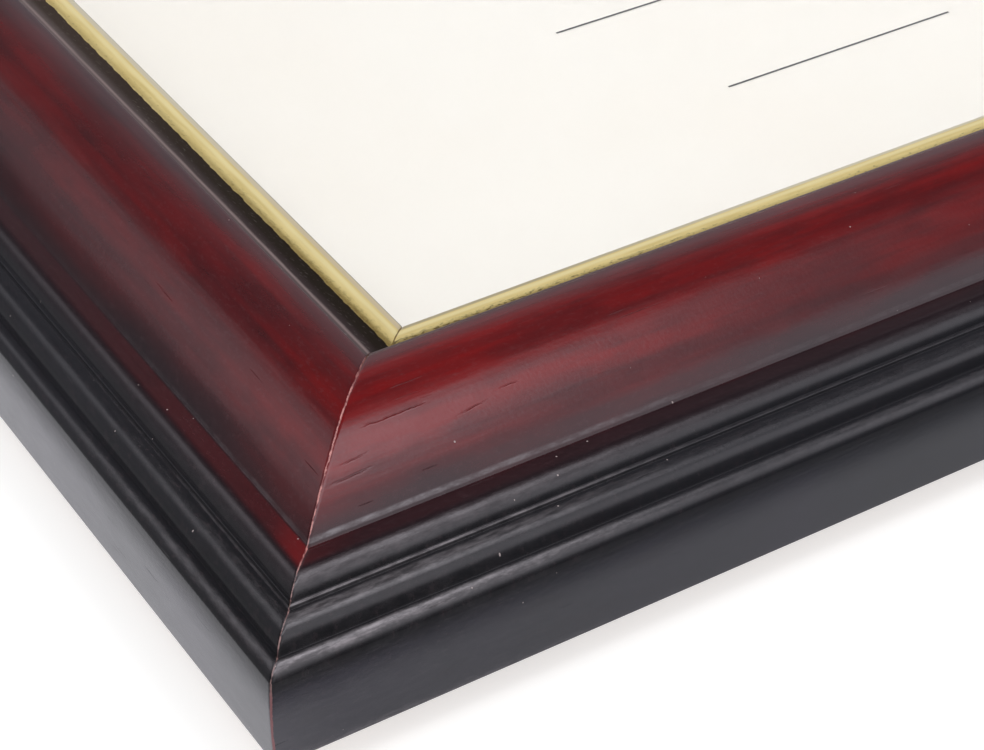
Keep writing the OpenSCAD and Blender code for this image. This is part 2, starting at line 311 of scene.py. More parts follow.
BEVEL_CUT = colour(96, 60, 58)

# Colours of the unfinished wood
WOOD_DARK = colour(178, 132, 104)
WOOD_LIGHT = colour(206, 168, 138)
WOOD_FIBRE = colour(140, 96, 74)


class RailNodes(Nodes):
    """Nodes of a rail's material, with the place on the rail. The seed moves the textures of each rail."""

    def __init__(self, name, seed=0.0):
        super().__init__(bpy.data.materials.new(name))
        self.seed = seed
        self.place = self.uv("rail")
        self.t, self.d, _ = self.split(self.place)
        self.from_mitre, self.height, _ = self.split(self.uv("seam"))

    def texture(self, along, across, detail=2.0, roughness=0.5, shift=0.0):
        """Noise, with its scale along the rail and across it."""
        stretched = self.stretch(self.place, (along, across, 1), (shift, 0, self.seed))
        return self.noise(stretched, 1.0, detail, roughness)


def stain_colours(n, red_strength, fillet_strength):
    """Black lacquer with the dome's red, in blotches and streaks that run along the rail."""
    streaks = n.texture(0.02, 0.5, 3.0, 0.55)
    blotches = n.texture(0.035, 0.16)
    patches = n.texture(0.045, 0.2, 3.0, 0.55, shift=3.7)
    near_corner = n.ramp(n.from_mitre, *RED_FADE)
    sway = n.math("MULTIPLY_ADD", blotches, 5.0, -2.5)
    mottle = n.times(n.ramp(streaks, 0.3, 0.7, 0.74, 1.22), n.ramp(patches, 0.3, 0.65, 0.7, 1.16))
    red = n.times(n.band(n.math("ADD", n.d, sway), *DOME_RED), mottle)
    red = n.times(red, n.math("MULTIPLY_ADD", near_corner, 0.28, 0.84))
    red = n.times(red, red_strength, clamp=True)

    at_corner = n.ramp(n.from_mitre, *AT_CORNER)
    fillet_red = n.times(n.band(n.d, *FILLET), n.math("MULTIPLY_ADD", near_corner, 0.6, 0.4))
    fillet_red = n.times(fillet_red, n.math("MULTIPLY_ADD", at_corner, 1.6, 1.0))
    red = n.math("MAXIMUM", red, n.times(fillet_red, fillet_strength))

    side = n.mix(n.ramp(n.texture(0.03, 0.09), 0.35, 0.65), SIDE_BLACK, SIDE_VIOLET)
    # Painted sheen: the beads' black lightens away from the corner
    bead_black_and_sheen = n.mix(n.ramp(n.from_mitre, *BEAD_SHEEN_FADE), BEAD_BLACK_NEAR, BEAD_BLACK_SHEEN_FAR)
    black = n.mix(n.ramp(n.d, 36.5, 38.5), DOME_BLACK, bead_black_and_sheen)
    black = n.mix(n.ramp(n.height, *WALL_STAIN_TOP), black, side)
    return n.mix(red, black, RED)


def pores_and_grain(n, base):
    """Adds pores, which are short dark strokes, and fine grain. Returns the colour and the pores."""
    pore_noise = n.texture(0.09, 3.2, 1.0, 0.4)
    pores = n.times(n.ramp(pore_noise, 0.25, 0.17), n.ramp(n.from_mitre, *PORE_FADE))
    base = n.mix(n.times(pores, 0.32), base, PORE)
    grain = n.texture(0.9, 1.7, 3.0, 0.7)
    cloudy = n.texture(0.12, 0.3, 3.0, 0.6)
    grain_strength = n.ramp(n.from_mitre, *GRAIN_FADE)
    base = n.mix(n.times(n.ramp(grain, 0.5, 0.75), grain_strength), base, GRAIN_SHEEN)
    base = n.mix(n.times(n.ramp(cloudy, 0.52, 0.3), 0.2), base, CLOUD)
    return base, pores


def scratch_masks(n, wander, scratch):
    """The groove and the lit edge of a short scratch between two ends."""
    (start, d_start), (end, d_end), width = scratch
    slope = (d_end - d_start) / (end - start)
    centre = n.math("MULTIPLY_ADD", n.from_mitre, slope, d_start - slope * start)
    wobble = n.math("MULTIPLY_ADD", wander, 0.5, -0.25)
    off = n.math("SUBTRACT", n.math("ADD", n.d, wobble), centre)
    inside = n.band(n.from_mitre, start, start + SCRATCH_FADE, end - SCRATCH_FADE, end)
    inside = n.times(inside, n.ramp(wander, 0.3, 0.6, 0.3, 1.0))
    groove = n.times(n.ramp(n.math("ABSOLUTE", off), width * 1.3, 0.0), inside)
    lit_off = n.math("ABSOLUTE", n.math("SUBTRACT", off, width * 1.6))
    lit = n.times(n.ramp(lit_off, width, width * 0.3), inside)
    return groove, lit


def scratched(n, base, scratches):
    """Adds the scratches by the mitre at the rail's left end. Returns the colour and the grooves."""
    wander = n.texture(0.5, 0.5, 3.0, 0.6)
    grooves, lit_edges = 0.0, 0.0
    for scratch in scratches:
        groove, lit = scratch_masks(n, wander, scratch)
        grooves = n.math("MAXIMUM", groove, grooves)
        lit_edges = n.math("MAXIMUM", lit, lit_edges)
    on_this_corner = n.math("LESS_THAN", n.t, 0.0)
    grooves = n.times(grooves, on_this_corner)
    lit_edges = n.times(lit_edges, on_this_corner)
    base = n.mix(n.times(grooves, 0.36), base, SCRATCH_DARK)
    base = n.mix(n.times(lit_edges, 0.22), base, SCRATCH_LIT)
    return base, grooves


def bare_mitre(n, base, wall):
    """Adds the bare wood along the mitre. Returns the colour and where the wood is bare."""
    seam_wave = n.texture(0.7, 1.1, 3.0, 0.65)
    seam_edge = n.math("MULTIPLY_ADD", seam_wave, 0.42, n.times(wall, 0.12))
    seam_edge = n.math("SUBTRACT", seam_edge, n.ramp(n.d, 34.0, 40.0, 0.09, 0.12))
    bare = n.ramp(n.math("SUBTRACT", seam_edge, n.from_mitre), -0.06, 0.04)
    dome_wood = n.mix(n.ramp(seam_wave, 0.4, 0.6), BARE_DARK, BARE_LIGHT)
    bead_wood = n.mix(n.ramp(seam_wave, 0.46, 0.56), BARE_BEAD_DARK, BARE_BEAD_LIGHT)
    wood = n.mix(n.ramp(n.d, 34.5, 37.0, 0.0, 0.75), dome_wood, bead_wood)
    wood = n.mix(wall, wood, BARE_WALL)
    amount = n.times(n.ramp(n.d, 13.0, 19.0, 0.35, 0.92), n.ramp(n.d, 45.2, 38.0, 0.75, 1.0))
    return n.mix(n.times(bare, amount), base, wood), bare


def rubbed_edges_and_highlights(n, base, bead_wear_and_highlight):
    """Adds grey on the edges and beads, partly rubbed wear and partly a painted highlight, most of all near
    the corners.
    """
    edge_bands = n.times(n.band(n.d, *TOE), 0.8)
    for edge in (FIRST_BEAD, ARRIS, MIDDLE_BEAD, LAST_BEAD):
        edge_bands = n.math("MAXIMUM", edge_bands, n.band(n.d, *edge))
    edge_bands = n.math("ADD", edge_bands, n.times(n.band(n.d, *ARRIS), 0.2))
    uneven = n.ramp(n.texture(0.3, 1.3, 4.0, 0.7), 0.36, 0.7, 0.25, 1.0)
    # Partly rubbed wear and partly painted highlight on the edges and beads
    rub_and_highlight = n.times(n.times(uneven, n.ramp(n.from_mitre, *RUB_AND_HIGHLIGHT_FADE)), edge_bands)
    return n.mix(n.times(rub_and_highlight, bead_wear_and_highlight, clamp=True), base, RUBBED_GREY_AND_HIGHLIGHT)


def dusty(n, base):
    """Adds dust, which is tiny pale specks. Returns the colour and the specks."""
    distance, speck_id = n.specks(n.stretch(n.place, (1, 1, 1), (0, 0, n.seed)), 0.6)
    on_edge = n.times(n.band(n.d, *DUSTY_EDGES), n.ramp(n.from_mitre, *DUST_FADE))
    more = n.math("SUBTRACT", n.times(on_edge, 0.14), 0.715)
    size = n.math("MULTIPLY_ADD", n.split(speck_id)[0], 0.8, more)
    dust = n.math("LESS_THAN", distance, n.math("MINIMUM", size, 0.07))
    return n.mix(n.times(dust, 0.62), base, DUST), dust


def finished_wood(name, seed, red_strength, fillet_strength, bead_wear_and_highlight, scratches):
    """Satin lacquer: dark red dome that fades to black, black beads and side."""
    n = RailNodes("finished_wood_" + name, seed)
    base = stain_colours(n, red_strength, fillet_strength)

    # On the wall the distance outward hardly changes, so there the other textures follow the height
    below = n.math("MINIMUM", n.math("ADD", n.height, -WALL_TEXTURE_TOP), 0.0)
    across = n.math("SUBTRACT", n.d, below)
    n.place = n.add("ShaderNodeCombineXYZ", X=n.t, Y=across).outputs[0]

    base, pores = pores_and_grain(n, base)
    if scratches:
        base, grooves = scratched(n, base, scratches)
    base, bare = bare_mitre(n, base, n.ramp(n.height, *WALL_TOP))
    base = rubbed_edges_and_highlights(n, base, bead_wear_and_highlight)
    base, dust = dusty(n, base)

    rough = n.math("MULTIPLY_ADD", n.texture(0.2, 0.6, 3.0), 0.12, 0.17)
    rough = n.math("ADD", rough, n.times(n.math("MAXIMUM", dust, bare), 0.3))
    orange_peel = n.noise(n.place, 1.6, 3.0, 0.6)
    relief = n.times(n.texture(0.06, 0.8), n.ramp(n.height, *WALL_TOP, 0.03, 0.006))
    relief = n.math("MULTIPLY_ADD", orange_peel, 0.012, relief)
    relief = n.math("SUBTRACT", relief, n.times(pores, 0.05))
    if scratches:
        relief = n.math("SUBTRACT", relief, n.times(grooves, 0.05))
    return n.surface(Base_Color=base, Roughness=rough, IOR=LACQUER_IOR, Normal=n.bump(relief, MM))


def gilt_leaf(n, leaf_noise, inner_reflection_tone, leaf_wear):
    """Gold leaf with a painted highlight on its ridge and a painted reflection on its inner band, worn and
    olive towards its outer edge.
    """
    near_corner = n.ramp(n.from_mitre, *LEAF_FADE)
    leaf = n.mix(n.ramp(leaf_noise, 0.3, 0.7), LEAF_DARK, LEAF_LIGHT)
    # Painted highlight along the ridge of the gilding
    leaf = n.mix(n.times(n.band(n.d, *GILT_RIDGE_HIGHLIGHT), 0.7), leaf, RIDGE_HIGHLIGHT_GOLD)
    # Painted reflection on the inner band: its tone near the corner is set for each rail, and it is pale
    # further off
    inner_edge = n.math("MULTIPLY_ADD", leaf_noise, 0.3, 1.25)
    inner_reflection_band = n.ramp(n.math("SUBTRACT", inner_edge, n.d), -0.2, 0.2)
    leaf = n.mix(inner_reflection_band, leaf, n.mix(near_corner, INNER_GILT_REFLECTION_FAR, colour(*inner_reflection_tone)))
    olive = n.ramp(n.math("MULTIPLY_ADD", leaf_noise, 0.8, n.d), 3.7, 4.7)
    olive = n.times(olive, n.math("MULTIPLY_ADD", near_corner, 0.45, 0.4))
    leaf = n.mix(olive, leaf, OLIVE)
    wear = n.math("MULTIPLY_ADD", near_corner, 0.09, n.texture(1.1, 2.6, 3.0, 0.7))
    worn = n.times(n.ramp(wear, 0.57, 0.68), n.ramp(n.d, 3.0, 3.9))
    leaf = n.mix(n.times(worn, leaf_wear), leaf, WORN_LEAF)

    # Painted shade along the sight edge, deeper near the corner, and the lip's inner side down to its foot,
    # darkened there by painted shade
    sight_shade = n.mix(near_corner, SIGHT_SHADE_FAR, SIGHT_SHADE_NEAR)
    leaf = n.mix(n.ramp(n.d, 0.34, 0.22), leaf, sight_shade)
    leaf = n.mix(n.ramp(n.height, -0.5, -1.1), leaf, LIP_SIDE)
    # Painted shade darkening the lip's inner side towards its foot
    return n.mix(n.ramp(n.height, -5.6, -6.2), leaf, LIP_FOOT_SHADE)


def inner_bevel(n, leaf_noise):
    """Matt black with a little dust, with painted sheen that lightens it away from the corner and towards
    its top, and a painted highlight where it meets the dome.
    """
    # Painted sheen: the bevel is lighter away from the corner and towards the dome
    sheen_from_corner = n.ramp(n.from_mitre, *BEVEL_SHEEN_FADE)
    low_black = n.mix(sheen_from_corner, BEVEL_LOW_NEAR, BEVEL_LOW_SHEEN_FAR)
    top_black_and_sheen = n.mix(sheen_from_corner, BEVEL_TOP_SHEEN_NEAR, BEVEL_TOP_SHEEN_FAR)
    black = n.mix(n.ramp(n.d, 8.0, 11.5), low_black, top_black_and_sheen)
    dust = n.ramp(n.texture(1.4, 1.4), 0.62, 0.72)
    black = n.mix(n.times(dust, 0.4), black, BEVEL_DUST)
    # Painted highlight along the bevel's top edge where it meets the dome
    edge_bands = n.ramp(n.math("MULTIPLY_ADD", leaf_noise, 0.8, n.d), 11.7, 12.8)
    edge_bands = n.times(edge_bands, n.ramp(n.d, 12.8, 12.3, 0.3, 1.0))
    return n.mix(edge_bands, black, BEVEL_EDGE_HIGHLIGHT)


def gilt_and_bevel(name, seed, inner_reflection_tone, leaf_wear):
    """Gilding that ends at a slightly wavy edge, and the matt black bevel beyond."""
    n = RailNodes("gilt_and_bevel_" + name, seed)
    leaf_noise = n.texture(0.12, 0.9, 3.0, 0.55)
    gilt_edge = n.math("MULTIPLY_ADD", n.texture(0.55, 0.05, 3.0, 0.65), 0.9, 4.2)
    gilt = n.ramp(n.math("SUBTRACT", gilt_edge, n.d), -0.05, 0.05)
    seam_edge = n.times(n.texture(0.6, 1.2, 2.0, 0.6), 0.2)
    cut = n.ramp(n.math("SUBTRACT", seam_edge, n.from_mitre), -0.04, 0.04)
    leaf = n.mix(n.times(cut, 0.8), gilt_leaf(n, leaf_noise, inner_reflection_tone, leaf_wear), LEAF_CUT)
    black = n.mix(cut, inner_bevel(n, leaf_noise), BEVEL_CUT)
    return n.surface(
        Base_Color=n.mix(gilt, black, leaf),
        Metallic=n.times(gilt, GILT_METALLIC),
        Roughness=n.math("MULTIPLY_ADD", gilt, -0.38, 0.8),
        Specular_IOR_Level=MATT_SPECULAR,
        Normal=n.bump(n.times(leaf_noise, 0.05), MM),
    )


def bare_wood():
    """Unfinished pinkish wood of the rails' back and rabbet."""
    n = RailNodes("bare_wood")
    grain = n.texture(0.02, 1.4, 4.0, 0.6)
    fibre = n.texture(0.15, 9.0, 2.0, 0.6)
    base = n.mix(n.ramp(grain, 0.3, 0.7), WOOD_DARK, WOOD_LIGHT)
    base = n.mix(n.times(n.ramp(fibre, 0.45, 0.3), 0.5), base, WOOD_FIBRE)
    relief = n.math("MULTIPLY_ADD", fibre, 0.05, n.times(grain, 0.05))
    return n.surface(Base_Color=base, Roughness=0.62, Normal=n.bump(relief, MM))


# Rails

# Steps along arcs, in degrees, and the number of points on a rounded corner
ARC_STEP, BEAD_STEP, SIDE_STEP = 2.5, 5, 1.2
SOFT_POINTS = 5

# How far from each corner of the outline its rounding by use starts, and other small trim, in millimetres
SOFT_LIP = 0.25
SOFT_BEVEL_FOOT = 0.5
SOFT_CROWN = (1.3, 0.9)
SOFT_TOE = 0.22
SOFT_ARRIS = 0.16
SOFT_SIDE = 0.12
SOFT_BACK = 0.4
CREASE_REACH = 0.04
LIP_FOOT_CHAMFER = 0.4
GROOVE_WIDTH, GROOVE_DEPTH = 0.38, 0.1

# How far the lower bead is worn down towards its chord, from 0 to 1
LOWER_BEAD_WEAR = 0.15


def arc_end(start, r, a, b):
    """Where an arc of radius r ends that runs from slope a to slope b, in degrees."""
    a, b = math.radians(a), math.radians(b)
    return (start[0] + r * (math.sin(a) - math.sin(b)), start[1] + r * (math.cos(b) - math.cos(a)))


def arc(start, r, a, b, step=ARC_STEP):
    """Points of an arc of radius r from slope a to slope b, in degrees, without its start."""
    steps = math.ceil(abs(b - a) / step)
    return [arc_end(start, r, a, a + (b - a) * i / steps) for i in range(1, steps + 1)]


def softened(before, corner, after, radius, radius_after=None):
    """A corner of the outline, rounded by a curve that starts radius and ends radius_after away from it."""
    corner = Vector(corner)
    to_before = (Vector(before) - corner).normalized() * radius
    to_after = (Vector(after) - corner).normalized() * (radius_after or radius)
    curve = []
    for k in range(SOFT_POINTS):
        s = k / (SOFT_POINTS - 1)
        curve.append(corner + to_before * (1 - s) ** 2 + to_after * s**2)
    return [tuple(p) for p in curve]


def crease(before, corner, after, reach=CREASE_REACH):
    """A sharp inner corner, with a point close by on each side so that its shading stays narrow."""
    corner = Vector(corner)
    to_before = (Vector(before) - corner).normalized() * reach
    to_after = (Vector(after) - corner).normalized() * reach
    return [tuple(corner + to_before), tuple(corner), tuple(corner + to_after)]


def moulding():
    """The moulding's outline as points (distance outward, height), with its corners rounded by use, and
    the indices at which the lacquer and the unfinished back and rabbet begin."""
    lip_foot = (0, -LIP_T)
    sight = (0, 0)
    gilt = arc(sight, GILT_R, GILT_SLOPE, 0)
    bevel_foot = (gilt[-1][0] + GILT_FLAT, gilt[-1][1])
    crown = (bevel_foot[0] + BEVEL_W, bevel_foot[1] + BEVEL_W * math.tan(math.radians(BEVEL_SLOPE)))
    crown_arc = arc(crown, CROWN_R, CROWN_SLOPE, -FLANK_SLOPE)
    flank_arc = arc(crown_arc[-1], FLANK_R, -FLANK_SLOPE, -TOE_SLOPE)
    toe_arc = arc(flank_arc[-1], TOE_R, -TOE_SLOPE, -TOE_END_SLOPE)
    toe = toe_arc[-1]
    fillet = (toe[0] + FILLET_STEP / math.tan(math.radians(TOE_END_SLOPE)), toe[1] - FILLET_STEP)
    upper = (fillet[0] + FILLET_W, fillet[1])
    upper_arc = arc(upper, UPPER_BEAD_R, 0, -BEAD_END_SLOPE, BEAD_STEP)
    arris = (upper_arc[-1][0] + QUIRK_W, upper_arc[-1][1])
    step = (arris[0], arris[1] - UPPER_STEP)
    middle = (arris[0] + MIDDLE_BEAD_INSET, step[1])
    middle_arc = arc(middle, MIDDLE_BEAD_R, 0, -MIDDLE_END_SLOPE, BEAD_STEP)
    lower = (middle_arc[-1][0] + QUIRK_W, middle_arc[-1][1] - LOWER_STEP)
    lower_arc = arc(lower, LOWER_BEAD_R, 0, -BEAD_END_SLOPE, BEAD_STEP)
    steps = len(lower_arc)
    for k in range(steps - 1):
        on_chord = Vector(lower).lerp(Vector(lower_arc[-1]), (k + 1) / steps)
        lower_arc[k] = tuple(Vector(lower_arc[k]).lerp(on_chord, LOWER_BEAD_WEAR))
    side_end = math.degrees(
        math.acos(math.cos(math.radians(SIDE_SLOPE)) - (lower_arc[-1][1] + SIDE_H) / SIDE_R)
    )
    side_arc = arc(lower_arc[-1], SIDE_R, -SIDE_SLOPE, -side_end, SIDE_STEP)
    side_foot = side_arc[-1]
    inner_back = (RABBET_SIDE, -SIDE_H)

    outline = [(0, -LIP_T + LIP_FOOT_CHAMFER)]
    outline += softened(lip_foot, sight, gilt[2], SOFT_LIP)
    outline += gilt[2:]
    outline += softened(gilt[-1], bevel_foot, crown, SOFT_BEVEL_FOOT)
    outline += softened(bevel_foot, crown, crown_arc[1], *SOFT_CROWN)
    lacquer_from = len(outline) - 2
    outline += crown_arc[2:] + flank_arc + toe_arc[:-1]
    outline += softened(toe_arc[-2], toe, fillet, SOFT_TOE)
    outline += crease(toe, fillet, upper)
    outline += [upper] + upper_arc[:-1]
    outline += crease(upper_arc[-2], upper_arc[-1], arris)
    outline += softened(upper_arc[-1], arris, step, SOFT_ARRIS)
    outline += crease(arris, step, middle)
    outline += [middle] + middle_arc[:-1]
    groove = (lower[0] - GROOVE_WIDTH, lower[1] - GROOVE_DEPTH)
    outline += crease(middle_arc[-2], middle_arc[-1], groove)
    outline += crease(middle_arc[-1], groove, lower)
    outline += [lower] + lower_arc[:-1]
    outline += softened(lower_arc[-2], lower_arc[-1], side_arc[0], SOFT_SIDE)
    outline += side_arc[:-1]
    outline += softened(side_arc[-2], side_foot, inner_back, SOFT_BACK)
    bare_from = len(outline) - 1
    outline += [inner_back, (RABBET_SIDE, -LIP_T), (LIP_FOOT_CHAMFER, -LIP_T)]
    return outline, lacquer_from, bare_from


# The turn of each rail in degrees, with half its length and half the frame's depth at the sight edge
RAILS = {
    "bottom_rail": (0, HALF_SIGHT_X, HALF_SIGHT_Y),
    "right_rail": (90, HALF_SIGHT_Y, HALF_SIGHT_X),
    "top_rail": (180, HALF_SIGHT_X, HALF_SIGHT_Y),
    "left_rail": (270, HALF_SIGHT_Y, HALF_SIGHT_X),
}
LACQUER, BARE, GILT = 0, 1, 2
RAIL_SPANS = 40

# The shallow groove at each mitre, in millimetres
SEAM_DEPTH = 0.14
SEAM_HALF_WIDTH = 0.16
SEAM_REACH = 0.6

# How far outward each rail's beads are shifted, and where the shift rises and falls
MISMATCH = {"bottom_rail": 0.22, "left_rail": -0.22, "top_rail": -0.1, "right_rail": 0.12}
SHIFT_START, SHIFT_RISE = 26, 8
SHIFT_END, SHIFT_FALL = 44.5, 3


def mismatch_at(d, amount):
    """The rails' beads meet slightly out of line at the mitres."""
    rise = min(1.0, max(0.0, (d - SHIFT_START) / SHIFT_RISE))
    fall = min(1.0, max(0.0, (SHIFT_END - d) / SHIFT_FALL))
    return amount * min(rise, fall)


def rail_piece(name, materials):
    turn, half_length, half_depth = RAILS[name]
    outline, lacquer_from, bare_from = moulding()
    count = len(outline)
    shifted = [(d + mismatch_at(d, MISMATCH[name]), h) for d, h in outline]
    inset = []
    for i, point in enumerate(shifted):
        before, after = Vector(shifted[i - 1]), Vector(shifted[(i + 1) % count])
        edge = (after - before).normalized()
        inset.append((point[0] + edge.y * SEAM_DEPTH, point[1] - edge.x * SEAM_DEPTH))
    verts, uv_rail, uv_seam = [], [], []

    def ring(points, place, from_mitre=0):
        """One outline of the rail: at a mitre where place is -1 or 1, or else in between."""
        for (d, h), (d_true, _) in zip(points, shifted):
            half = half_length + d_true
            t = place * half if abs(place) < 1 else math.copysign(half - from_mitre, place)
            verts.append((t, -half_depth - d, LIP_Z + h))
            uv_rail.append((t, d_true))
            uv_seam.append((half - abs(t), h))

    def kind_at(i):
        if bare_from <= i < count - 1:
            return BARE
        return LACQUER if i >= lacquer_from else GILT

    # Each mitre is a shallow groove, so that the open joint shows
    groove = [(inset, 0), (shifted, SEAM_HALF_WIDTH), (shifted, SEAM_REACH)]
    for points, from_mitre in groove:
        ring(points, -1, from_mitre)
    for k in range(1, RAIL_SPANS):
        ring(shifted, -1.0 + 2 * k / RAIL_SPANS)
    for points, from_mitre in reversed(groove):
        ring(points, 1, from_mitre)

    rings = len(verts) // count
    faces, kinds = [], []
    for j in range(rings - 1):
        for i in range(count):
            a, b = j * count + i, j * count + (i + 1) % count
            faces.append((a, b, b + count, a + count))
            kinds.append(kind_at(i))
    faces.append(tuple(range(count))[::-1])
    faces.append(tuple(range((rings - 1) * count, rings * count)))
    kinds += [BARE, BARE]
    rail = mesh_object(name + "_finished", verts, faces)
    for uv_name, values in (("rail", uv_rail), ("seam", uv_seam)):
        layer = rail.data.uv_layers.new(name=uv_name)
        for loop in rail.data.loops:
            layer.data[loop.index].uv = values[loop.vertex_index]
    for material in materials:
        rail.data.materials.append(material)
    for polygon, kind in zip(rail.data.polygons, kinds):
        polygon.material_index = kind
    rail.data.polygons[-1].use_smooth = False
    rail.data.polygons[-2].use_smooth = False
    rail.data.transform(Matrix.Rotation(math.radians(turn), 4, "Z"))
    flat_normals(rail)
    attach(rail, "frame")
    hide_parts(name)


# Scratches near the lower left corner: the ends as (distance from the mitre, distance outward), and
# the width
SCRATCHES = [
    ((3.2, 24.0), (13.4, 23.9), 0.13),
    ((18.0, 26.7), (23.4, 26.1), 0.1),
    ((1.6, 27.3), (6.4, 26.8), 0.12),
    ((0.8, 28.8), (7.6, 28.5), 0.14),
    ((23.5, 25.5), (27.8, 25.4), 0.09),
]
RED_STRENGTH = {"bottom_rail": 0.82, "left_rail": 0.51, "top_rail": 0.75, "right_rail": 0.72}
FILLET_STRENGTH = {"bottom_rail": 0.08, "left_rail": 0.26, "top_rail": 0.25, "right_rail": 0.35}
# Strength of the grey on each rail's edges and beads, partly wear and partly painted highlight
BEAD_WEAR_AND_HIGHLIGHT = {"bottom_rail": 1.05, "left_rail": 0.2, "top_rail": 0.45, "right_rail": 0.45}
# Tone of the painted reflection on each rail's inner band of gilding, lighter or darker by how light falls
# on that rail
INNER_GILT_REFLECTION = {
    "bottom_rail": (186, 172, 138),
    "left_rail": (216, 200, 168),
    "top_rail": (196, 180, 146),
    "right_rail": (202, 186, 152),
}
LEAF_WEAR = {"bottom_rail": 0.8, "left_rail": 0.3, "top_rail": 0.5, "right_rail": 0.5}
SEED_STEP = 7.3  # so that the rails' textures differ

bare = bare_wood()
for place, rail_name in enumerate(RAILS):
    seed = SEED_STEP * place
    scratches = SCRATCHES if rail_name == "bottom_rail" else ()
    stain = (RED_STRENGTH[rail_name], FILLET_STRENGTH[rail_name])
    lacquer = finished_wood(rail_name, seed, *stain, BEAD_WEAR_AND_HIGHLIGHT[rail_name], scratches)
    gilding = gilt_and_bevel(rail_name, seed, INNER_GILT_REFLECTION[rail_name], LEAF_WEAR[rail_name])
    rail_piece(rail_name, [lacquer, bare, gilding])


# Certificate, glazing and boards

CLEAR = (0.994, 0.996, 0.994, 1)
PAPER_LIGHT = colour(254, 250, 244)
PAPER_DARK = colour(253, 248, 241)
PAPER_FIBRE = colour(236, 230, 216)
INK_DARK = colour(30, 30, 34)
INK_LIGHT = colour(52, 52, 56)
SHEET_COLUMNS, SHEET_ROWS = 48, 38
SHEET_WELD = 0.002
COCKLE_X, COCKLE_Y, COCKLE_SEED = 0.016, 0.013, 3.1


def paper_material():
    n = material_nodes("certificate_paper")
    place = n.coordinate("Object")
    fibres = n.noise(place, 900.0, 4.0, 0.65)
    clouds = n.noise(place, 26.0, 3.0, 0.5)
    base = n.mix(n.ramp(clouds, 0.3, 0.7), PAPER_LIGHT, PAPER_DARK)
    base = n.mix(n.times(n.ramp(fibres, 0.5, 0.75), 0.1), base, PAPER_FIBRE)
    return n.surface(Base_Color=base, Roughness=0.75, Normal=n.bump(fibres, 0.02 * MM))


def ink_material():
    n = material_nodes("printed_rule")
    grain = n.noise(n.coordinate("Object"), 4000.0, 2.0)
    base = n.mix(n.ramp(grain, 0.4, 0.7), INK_DARK, INK_LIGHT)
    return n.surface(Base_Color=base, Roughness=0.6)


def glass_material():
    """Clear glazing that lets the lamps through to the paper."""
    n = material_nodes("glazing")
    smear = n.noise(n.coordinate("Object"), 14.0, 2.0)
    glass = n.add(
        "ShaderNodeBsdfPrincipled",
        Base_Color=CLEAR,
        Roughness=n.ramp(smear, 0.45, 0.8, 0.0, 0.02),
        IOR=1.5,
        Transmission_Weight=1.0,
    )
    clear = n.add("ShaderNodeBsdfTransparent", Color=CLEAR)
    return n.finish(n.mix_shaders(n.light_path("Is Shadow Ray"), glass, clear))


def sheet_block(name, low, high, edge, wave=0.0):
    """A thin block between two corners in millimetres, with small chamfers. wave lets its top cockle."""
    columns, rows = SHEET_COLUMNS, SHEET_ROWS
    bm = bmesh.new()

    def cockle(x, y):
        if not wave:
            return 0.0
        return wave * (noise.noise(Vector((x * COCKLE_X, y * COCKLE_Y, COCKLE_SEED))) - 1) * 0.5

    def layer(z, waved):
        grid = []
        for j in range(rows + 1):
            for i in range(columns + 1):
                x = low[0] + edge + (high[0] - low[0] - 2 * edge) * i / columns
                y = low[1] + edge + (high[1] - low[1] - 2 * edge) * j / rows
                grid.append(bm.verts.new((x * MM, y * MM, (z + (cockle(x, y) if waved else 0)) * MM)))
        return grid

    top = layer(high[2], True)
    bottom = layer(low[2], False)

    def at(grid, i, j):
        return grid[j * (columns + 1) + i]

    def outward(i, j):
        """From a point of the border to the outermost edge beside it."""
        x = edge if i == columns else -edge if i == 0 else 0
        y = edge if j == rows else -edge if j == 0 else 0
        return x, y

    for j in range(rows):
        for i in range(columns):
            places = [(i, j), (i + 1, j), (i + 1, j + 1), (i, j + 1)]
            bm.faces.new([at(top, *place) for place in places])
            bm.faces.new([at(bottom, *place) for place in (places[0], places[3], places[2], places[1])])
    border = [(i, 0) for i in range(columns)] + [(columns, j) for j in range(rows)]
    border += [(i, rows) for i in range(columns, 0, -1)] + [(0, j) for j in range(rows, 0, -1)]
    for a, b in zip(border, border[1:] + border[:1]):
        upper_a, upper_b = at(top, *a), at(top, *b)
        lower_a, lower_b = at(bottom, *a), at(bottom, *b)
        if not edge:
            bm.faces.new([lower_a, lower_b, upper_b, upper_a])
            continue
        side = []
        for v, place, rise in (
            (lower_a, a, edge),
            (lower_b, b, edge),
            (upper_b, b, -edge),
            (upper_a, a, -edge),
        ):
            x, y = outward(*place)
            side.append(bm.verts.new((v.co.x + x * MM, v.co.y + y * MM, v.co.z + rise * MM)))
        bm.faces.new(side)
        bm.faces.new([side[3], side[2], upper_b, upper_a])
        bm.faces.new([lower_a, lower_b, side[1], side[0]])
    bmesh.ops.remove_doubles(bm, verts=bm.verts, dist=SHEET_WELD * MM)
    bmesh.ops.recalc_face_normals(bm, faces=bm.faces)
    mesh = bpy.data.meshes.new(name)
    bm.to_mesh(mesh)
    bm.free()
    mesh.shade_smooth()
    return flat_normals(collection_add(bpy.data.objects.new(name, mesh)))


def corners(node):
    low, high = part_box(node)
    return [c / MM for c in low], [c / MM for c in high]


PAPER_AIR = 0.06
PAPER_WAVE = 0.1
GLASS_CHAMFER = 0.25

low, high = corners("certificate")
high[2] -= PAPER_AIR
certificate = sheet_block("certificate_sheet", low, high, 0.0, wave=PAPER_WAVE)
certificate.data.materials.append(paper_material())
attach(certificate, "frame")
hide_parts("certificate")

low, high = corners("glazing")
glazing = sheet_block("glazing_pane", low, high, GLASS_CHAMFER)
glazing.data.materials.append(glass_material())
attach(glazing, "frame")
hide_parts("glazing")

